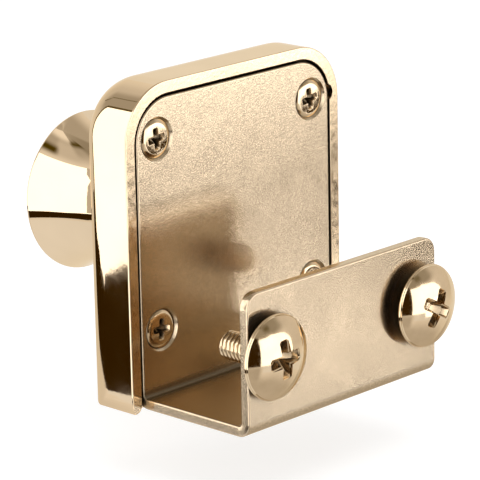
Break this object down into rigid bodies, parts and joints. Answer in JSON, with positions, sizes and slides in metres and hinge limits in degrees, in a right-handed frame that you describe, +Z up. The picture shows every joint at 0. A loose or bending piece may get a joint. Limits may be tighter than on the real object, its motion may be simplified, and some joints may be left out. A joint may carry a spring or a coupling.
{
  "type": "glass door clamp lock",
  "caption": "Clamp-on cabinet lock for a glass door: bent bracket with clamp screws, polished housing, flared knob with key plug and rack bolt.",
  "frame": {"origin": "middle of the bracket's web, on the face that the edge of the glass stands on", "axes": "+Z up the glass, +Y from the knob towards the clamp screws, X along the edge of the glass"},
  "size_m": [0.0424, 0.0543, 0.0452],
  "materials": {
    "polished_gold": "mirror-polished light gold plating on a zinc casting",
    "satin_gold": "satin light gold plating on bent steel sheet",
    "screw_gold": "polished light gold plating on steel screws",
    "plug_brass": "turned and stamped brass",
    "spring_steel": "oiled spring steel",
    "bolt_steel": "plated steel"
  },
  "bodies": {
    "lock_body": {"housing": "polished_gold", "clamp_bracket": "satin_gold", "plate_screw_upper_left": "screw_gold", "plate_screw_upper_right": "screw_gold", "plate_screw_lower_left": "screw_gold", "plate_screw_lower_right": "screw_gold", "knob": "polished_gold", "knob_clip": "spring_steel"},
    "plug": {"key_plug": "plug_brass", "wafer_1": "plug_brass", "wafer_2": "plug_brass", "wafer_3": "plug_brass", "wafer_4": "plug_brass", "wafer_5": "plug_brass", "wafer_springs": "spring_steel", "pinion": "plug_brass", "plug_clip": "spring_steel"},
    "bolt": {"lock_bolt": "bolt_steel"},
    "left_screw": {"clamp_screw_left": "screw_gold"},
    "right_screw": {"clamp_screw_right": "screw_gold"}
  },
  "joints": [
    {"name": "key_turn", "type": "hinge", "parent": "lock_body", "child": "plug", "pos_m": [0, -0.0173, 0.0206], "axis": [0, 1, 0], "range_deg": [0, 90]},
    {"name": "bolt_throw", "type": "slide", "parent": "lock_body", "child": "bolt", "axis": [0, 0, -1], "range_m": [0, 0.00942]},
    {"name": "left_screw_travel", "type": "slide", "parent": "lock_body", "child": "left_screw", "axis": [0, -1, 0], "range_m": [-0.0055, 0.0012]},
    {"name": "right_screw_travel", "type": "slide", "parent": "lock_body", "child": "right_screw", "axis": [0, -1, 0], "range_m": [-0.0052, 0.0015]}
  ],
  "couplings": [
    {"joint": "key_turn", "follows": "bolt_throw", "rad_per_m": 166.67}
  ]
}
